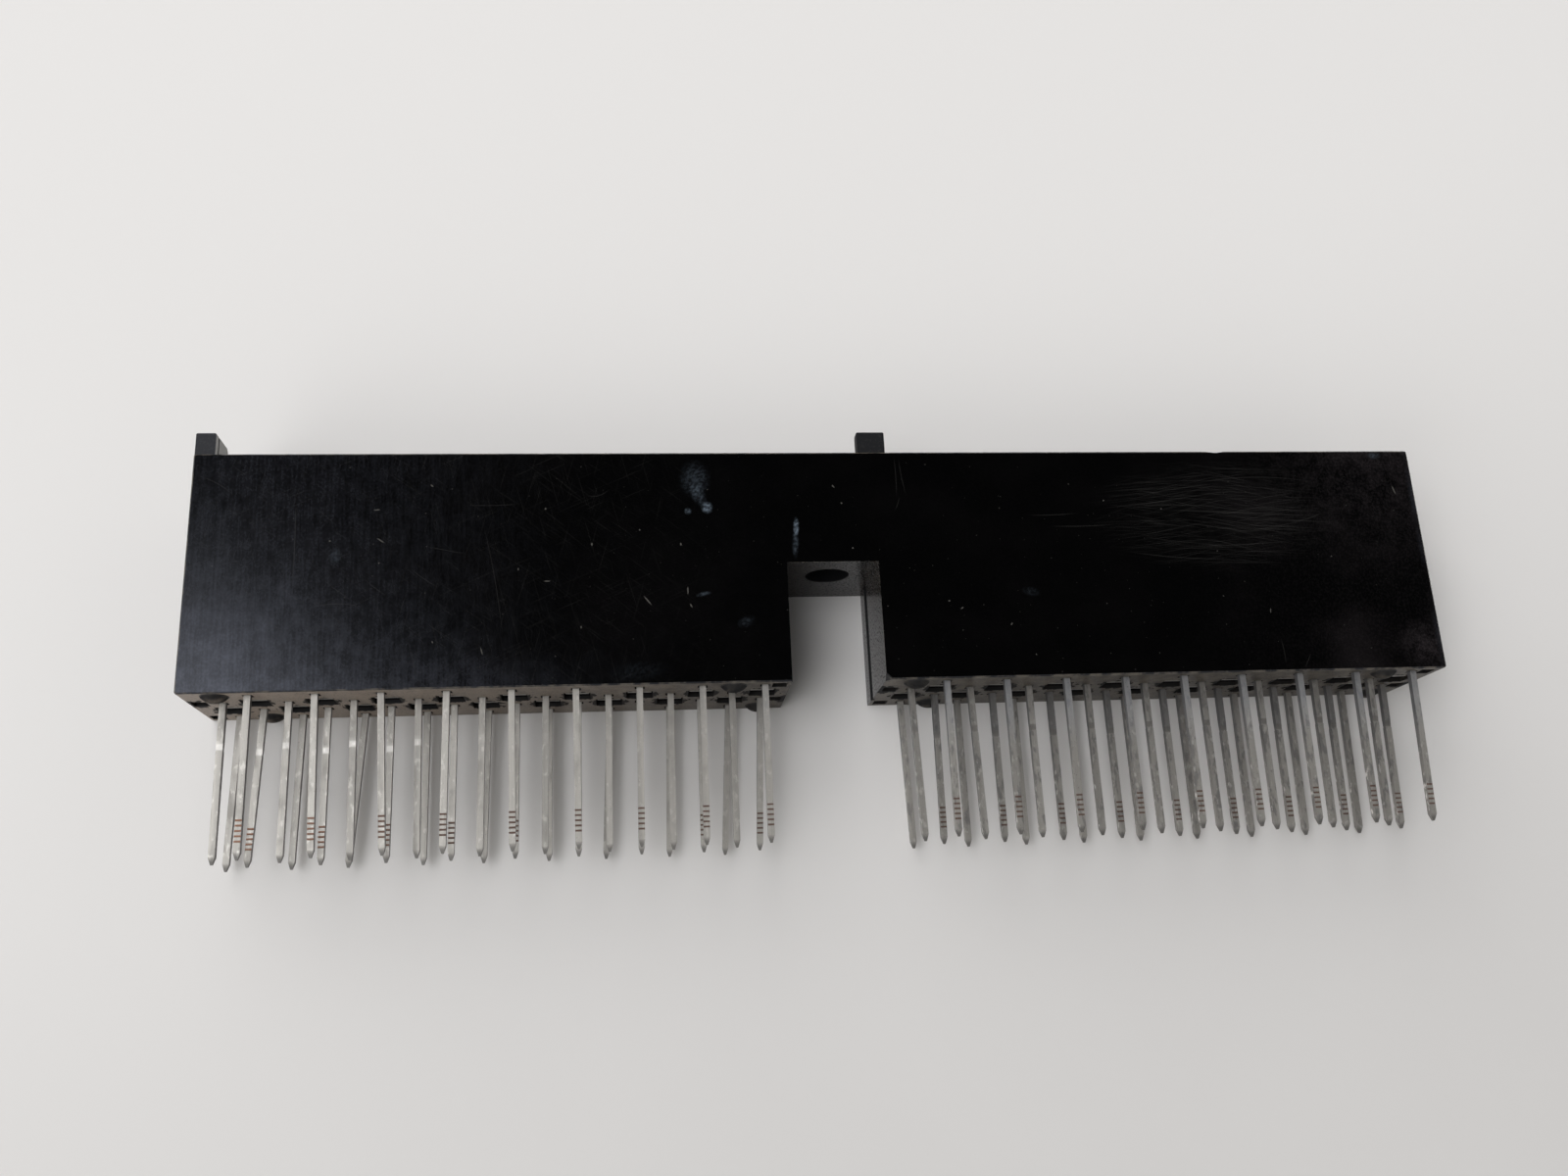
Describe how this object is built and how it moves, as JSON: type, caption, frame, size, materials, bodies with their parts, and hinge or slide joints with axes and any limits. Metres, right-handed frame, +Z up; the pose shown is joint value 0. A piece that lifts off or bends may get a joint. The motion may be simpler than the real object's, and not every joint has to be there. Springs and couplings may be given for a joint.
{
  "type": "wire wrap card-edge socket",
  "caption": "Black moulded double card-edge socket with a mounting notch between its halves and rows of square wire-wrap tails.",
  "frame": {"origin": "centre of the part's outline on the back face that it lies on", "axes": "+X along the block, +Y towards the card that plugs in, tails point to -Y, +Z up out of the front face"},
  "size_m": [0.1302, 0.0432, 0.0127],
  "materials": {
    "housing": "black moulded phenolic, glossy, scuffed",
    "contact": "tin-plated bronze, dull"
  },
  "bodies": {
    "root": {"housing": "housing", "contacts_left_01": "contact", "contacts_left_02": "contact", "contacts_left_03": "contact", "contacts_left_04": "contact", "contacts_left_05": "contact", "contacts_left_06": "contact", "contacts_left_07": "contact", "contacts_left_08": "contact", "contacts_left_09": "contact", "contacts_left_10": "contact", "contacts_left_11": "contact", "contacts_left_12": "contact", "contacts_left_13": "contact", "contacts_left_14": "contact", "contacts_left_15": "contact", "contacts_left_16": "contact", "contacts_left_17": "contact", "contacts_left_18": "contact", "contacts_right_01": "contact", "contacts_right_02": "contact", "contacts_right_03": "contact", "contacts_right_04": "contact", "contacts_right_05": "contact", "contacts_right_06": "contact", "contacts_right_07": "contact", "contacts_right_08": "contact", "contacts_right_09": "contact", "contacts_right_10": "contact", "contacts_right_11": "contact", "contacts_right_12": "contact", "contacts_right_13": "contact", "contacts_right_14": "contact", "contacts_right_15": "contact", "contacts_right_16": "contact", "contacts_right_17": "contact", "contacts_right_18": "contact"}
  },
  "joints": []
}
